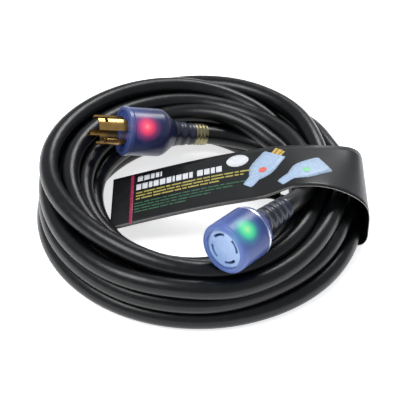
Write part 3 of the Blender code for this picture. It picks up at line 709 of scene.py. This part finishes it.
def painted_glow_body(name, face_at, back, depth_lit, side_lit, shades, glow, **shader_values):
    """A clear moulding with a painted glow where its lamp's light would come through. Its colour
    follows shades by how far a point is behind the face, as a share of SHADE_DEPTH, stirred by
    clouds 14 mm across. The painted glow is emission colour that follows glow by the distance from
    a spot on the wall, as a share of GLOW_REACH. That spot is depth_lit behind the face, and
    WALL_R out from the middle line towards side_lit."""
    material, tree, shader = new_finish(name, **shader_values)
    place = add_node(tree, "ShaderNodeTexCoord")
    from_face = add_node(
        tree,
        "ShaderNodeVectorMath",
        {0: place.outputs["Object"], 1: face_at.tolist()},
        operation="SUBTRACT",
    )
    depth = add_node(
        tree,
        "ShaderNodeVectorMath",
        {0: from_face.outputs[0], 1: back.tolist()},
        operation="DOT_PRODUCT",
    )
    share = add_node(
        tree, "ShaderNodeMapRange", {"Value": depth.outputs["Value"], "From Max": SHADE_DEPTH}
    )
    cloud = add_node(
        tree,
        "ShaderNodeTexNoise",
        {"Vector": place.outputs["Object"], "Scale": 1000 / 14.3, "Detail": 2.0},
    )
    stirred = add_node(
        tree,
        "ShaderNodeMath",
        {0: cloud.outputs["Fac"], 1: 0.10, 2: share.outputs["Result"]},
        operation="MULTIPLY_ADD",
    )
    tone = add_node(tree, "ShaderNodeValToRGB", {"Fac": stirred.outputs[0]})
    ramp = tone.color_ramp.elements
    ramp[0].position, ramp[0].color = shades[0][0], linear(shades[0][1])
    ramp[1].position, ramp[1].color = shades[-1][0], linear(shades[-1][1])
    for at, colour in shades[1:-1]:
        ramp.new(at).color = linear(colour)
    tree.links.new(tone.outputs["Color"], shader.inputs["Base Color"])
    # Painted glow: emission colour that fades with the distance from one spot on the wall, in place of the
    # lamp's light coming through.
    side = np.array(side_lit) - (np.array(side_lit) @ back) * back
    painted_glow_spot = face_at + depth_lit * back + WALL_R * side / np.linalg.norm(side)
    apart = add_node(
        tree,
        "ShaderNodeVectorMath",
        {0: place.outputs["Object"], 1: painted_glow_spot.tolist()},
        operation="DISTANCE",
    )
    near = add_node(
        tree, "ShaderNodeMapRange", {"Value": apart.outputs["Value"], "From Max": GLOW_REACH}
    )
    light = add_node(tree, "ShaderNodeValToRGB", {"Fac": near.outputs["Result"]})
    ramp = light.color_ramp.elements
    ramp[0].position, ramp[0].color = glow[0][0], linear(glow[0][1])
    ramp[1].position, ramp[1].color = glow[-1][0], linear(glow[-1][1])
    for at, colour in glow[1:-1]:
        ramp.new(at).color = linear(colour)
    tree.links.new(light.outputs["Color"], shader.inputs["Emission Color"])
    shader.inputs["Emission Strength"].default_value = 1.0
    return material


def moulded(name, dark, light, rough, grain_mm=3.33, **shader_values):
    """A moulded, stamped or drawn finish. Its colour goes from dark to light, and its roughness
    from 0.8 to 1.3 times rough, with a noise whose grain is grain_mm across."""
    material, tree, shader = new_finish(name, **shader_values)
    place = add_node(tree, "ShaderNodeTexCoord")
    noise = add_node(
        tree,
        "ShaderNodeTexNoise",
        {"Vector": place.outputs["Object"], "Scale": 1000 / grain_mm, "Detail": 3.0},
    )
    tone = add_node(tree, "ShaderNodeValToRGB", {"Fac": noise.outputs["Fac"]})
    tone.color_ramp.elements[0].position = 0.3
    tone.color_ramp.elements[0].color = linear(dark)
    tone.color_ramp.elements[1].position = 0.7
    tone.color_ramp.elements[1].color = linear(light)
    tree.links.new(tone.outputs["Color"], shader.inputs["Base Color"])
    gloss = add_node(
        tree,
        "ShaderNodeMapRange",
        {"Value": noise.outputs["Fac"], "To Min": rough * 0.8, "To Max": rough * 1.3},
    )
    tree.links.new(gloss.outputs["Result"], shader.inputs["Roughness"])
    return material


# Clear PVC, moulded and tinted blue: it lets some light in, so its edges are paler, and its
# skin has a soft gloss. The red light of its lamp on the wall is a painted glow.
plug_shell = painted_glow_body(
    "clear blue PVC over the plug with painted lamp glow",
    plug_face_at, plug_back, 0.0155, (0.42, -0.57, 0.71),
    [(0.10, "#5468a4"), (0.16, "#33478a"), (0.55, "#232f66"), (1.0, "#161c40")],
    [(0.0, "#ff9a90"), (0.20, "#f8504a"), (0.42, "#e02430"), (0.66, "#701a38"), (1.0, "#000000")],
    Roughness=0.30, IOR=1.45, Coat_Weight=0.15, Coat_Roughness=0.2, Transmission_Weight=0.35,
)
dress(["plug_body"], plug_shell)
dress(["plug_face"], moulded("blue nylon blade carrier", "#2c3f7c", "#3d5296", 0.28))
dress(["plug_boot"], moulded("navy PVC boot", "#0b1020", "#131a32", 0.34, Coat_Weight=0.1), SOFT_CREASE)
# Brass, stamped and tumbled: a warm metal with a slightly cloudy gloss.
blade_brass = moulded("stamped brass blades", "#a5834a", "#b5935a", 0.24, 8.33, Metallic=1.0)
dress(["blade_ground", "blade_hot_x", "blade_neutral", "blade_hot_y"], blade_brass)
dress(["plug_ferrule"], moulded("crimped brass ferrule", "#807a5c", "#948d6c", 0.30, 5.0, Metallic=1.0))
LAMP_POWER = 3.0
dress(
    ["plug_lamp"],
    moulded(
        "red lamp lens", "#ff4a44", "#ff7a70", 0.2,
        Emission_Strength=LAMP_POWER, Emission_Color=linear("#ff3a30"),
    ),
)
lamp_board = moulded("glass-fibre lamp board", "#5f6b4e", "#7c8866", 0.5)
dress(["plug_lamp_board", "connector_lamp_board"], lamp_board)
# Nylon drawn over each wire: half gloss, in the four colours of the cores.
for colour, dark, light in (
    ("green", "#0c5a26", "#137238"),
    ("black", "#0c0c0d", "#18181a"),
    ("white", "#c9c7bf", "#e2e0d8"),
    ("red", "#8e1616", "#aa2222"),
):
    dress(
        [f"plug_wire_{colour}", f"connector_wire_{colour}"],
        moulded(f"{colour} nylon wire cover", dark, light, 0.32),
    )


# ---- Connector --------------------------------------------------------------
# The same clear PVC, paler, moulded round a slotted face that holds four spring contacts.
# The rim is thick and rounded, and a groove sets off the shoulder. Its boot is smoky.
# The connector's PVC is less tinted, so more of the light passes through.
# The green light of its lamp on the wall is a painted glow as well.
connector_shell = painted_glow_body(
    "clear pale blue PVC over the connector",
    connector_face_at, connector_back, 0.0145, (0.46, -0.23, 0.86),
    [(0.06, "#7590d8"), (0.20, "#5570bc"), (0.60, "#4860ac"), (1.0, "#2c4086")],
    [(0.0, "#b8e060"), (0.22, "#62d244"), (0.45, "#22b43c"), (0.68, "#105c3a"), (1.0, "#000000")],
    Roughness=0.34, IOR=1.40, Coat_Weight=0.05, Coat_Roughness=0.3, Transmission_Weight=0.55,
)
dress(["connector_body"], connector_shell)
dress(
    ["connector_face"],
    moulded("pale blue nylon face", "#7d98c2", "#90aad0", 0.20, 11.1, Coat_Weight=0.4),
)
dress(
    ["connector_boot"],
    moulded("smoky clear boot", "#10141f", "#1a2032", 0.32, 11.1, Coat_Weight=0.1),
    SOFT_CREASE,
)
spring_brass = moulded("tinned spring contacts", "#9a9a92", "#c4c4bc", 0.3, Metallic=1.0)
dress(["contact_ground", "contact_hot_x", "contact_neutral", "contact_hot_y"], spring_brass)
dress(
    ["connector_lamp"],
    moulded(
        "green lamp lens", "#4be05a", "#7af07a", 0.2,
        Emission_Strength=LAMP_POWER, Emission_Color=linear("#30ff50"),
    ),
)
